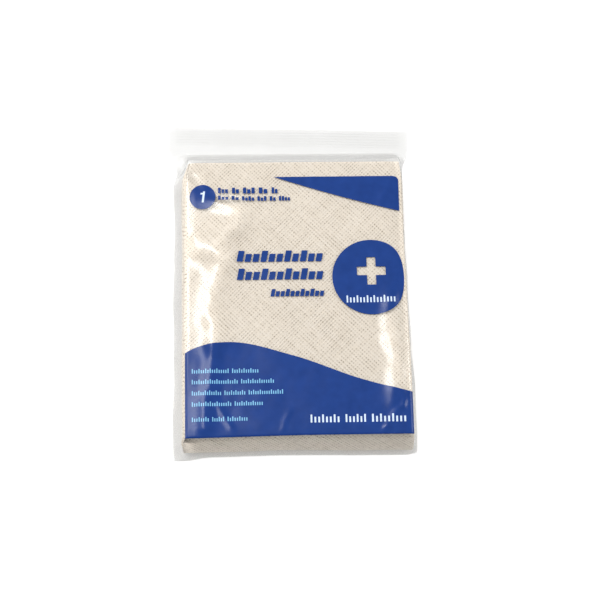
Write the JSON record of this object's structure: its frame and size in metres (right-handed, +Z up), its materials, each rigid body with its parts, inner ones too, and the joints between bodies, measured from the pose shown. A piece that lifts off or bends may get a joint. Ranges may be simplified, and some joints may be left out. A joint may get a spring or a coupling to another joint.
{
  "type": "bagged triangular bandage",
  "caption": "Folded muslin triangular bandage, used as an arm sling, in a clear printed poly bag with a ribbed mouth strip and safety pins beneath the cloth.",
  "frame": {"origin": "middle of the bag's underside, on the surface it lies on", "axes": "+Y runs to the bag's mouth, +Z up out of the printed face, +X to the right of the print"},
  "size_m": [0.1016, 0.143, 0.014],
  "materials": {
    "film": "clear polyethylene film, glossy, lightly creased",
    "closure": "clear polyethylene ribs",
    "ink": "blue flexographic ink under film gloss",
    "muslin": "unbleached plain-weave cotton muslin",
    "pin_steel": "nickel-plated steel wire",
    "pin_cap_steel": "nickel-plated sheet steel"
  },
  "bodies": {
    "bag": {"back_film": "film", "back_lip": "film", "front_film": "film", "left_side_film": "film", "right_side_film": "film", "bottom_end_film": "film", "left_seam": "film", "right_seam": "film", "bottom_seam": "film", "back_closure_ribs": "closure", "printed_wedge": "ink", "printed_wave": "ink", "printed_roundel": "ink", "printed_count_disc": "ink", "printed_bars": "ink"},
    "mouth_front": {"mouth_film": "film", "front_lip": "film", "front_closure_ribs": "closure"},
    "bandage": {"bandage_outer_fold": "muslin", "bandage_middle_fold": "muslin", "bandage_inner_fold": "muslin", "pin_a_wire": "pin_steel", "pin_a_cap": "pin_cap_steel", "pin_b_wire": "pin_steel", "pin_b_cap": "pin_cap_steel"},
    "pin_a_arm": {"pin_a_arm": "pin_steel"},
    "pin_b_arm": {"pin_b_arm": "pin_steel"}
  },
  "joints": [
    {"name": "mouth_open", "type": "hinge", "parent": "bag", "child": "mouth_front", "pos_m": [0, 0.051, 0.01385], "axis": [1, 0, 0], "range_deg": [0, 75]},
    {"name": "bandage_slide", "type": "slide", "parent": "bag", "child": "bandage", "axis": [0, 1, 0], "range_m": [0, 0.145], "deforming": ["mouth_film", "front_lip", "front_closure_ribs"]},
    {"name": "pin_a_open", "type": "hinge", "parent": "bandage", "child": "pin_a_arm", "pos_m": [-0.024, -0.014, 0.00214], "axis": [0, 0, 1], "range_deg": [0, 35]},
    {"name": "pin_b_open", "type": "hinge", "parent": "bandage", "child": "pin_b_arm", "pos_m": [0.027, -0.02, 0.00214], "axis": [0, 0, 1], "range_deg": [0, 35]}
  ]
}
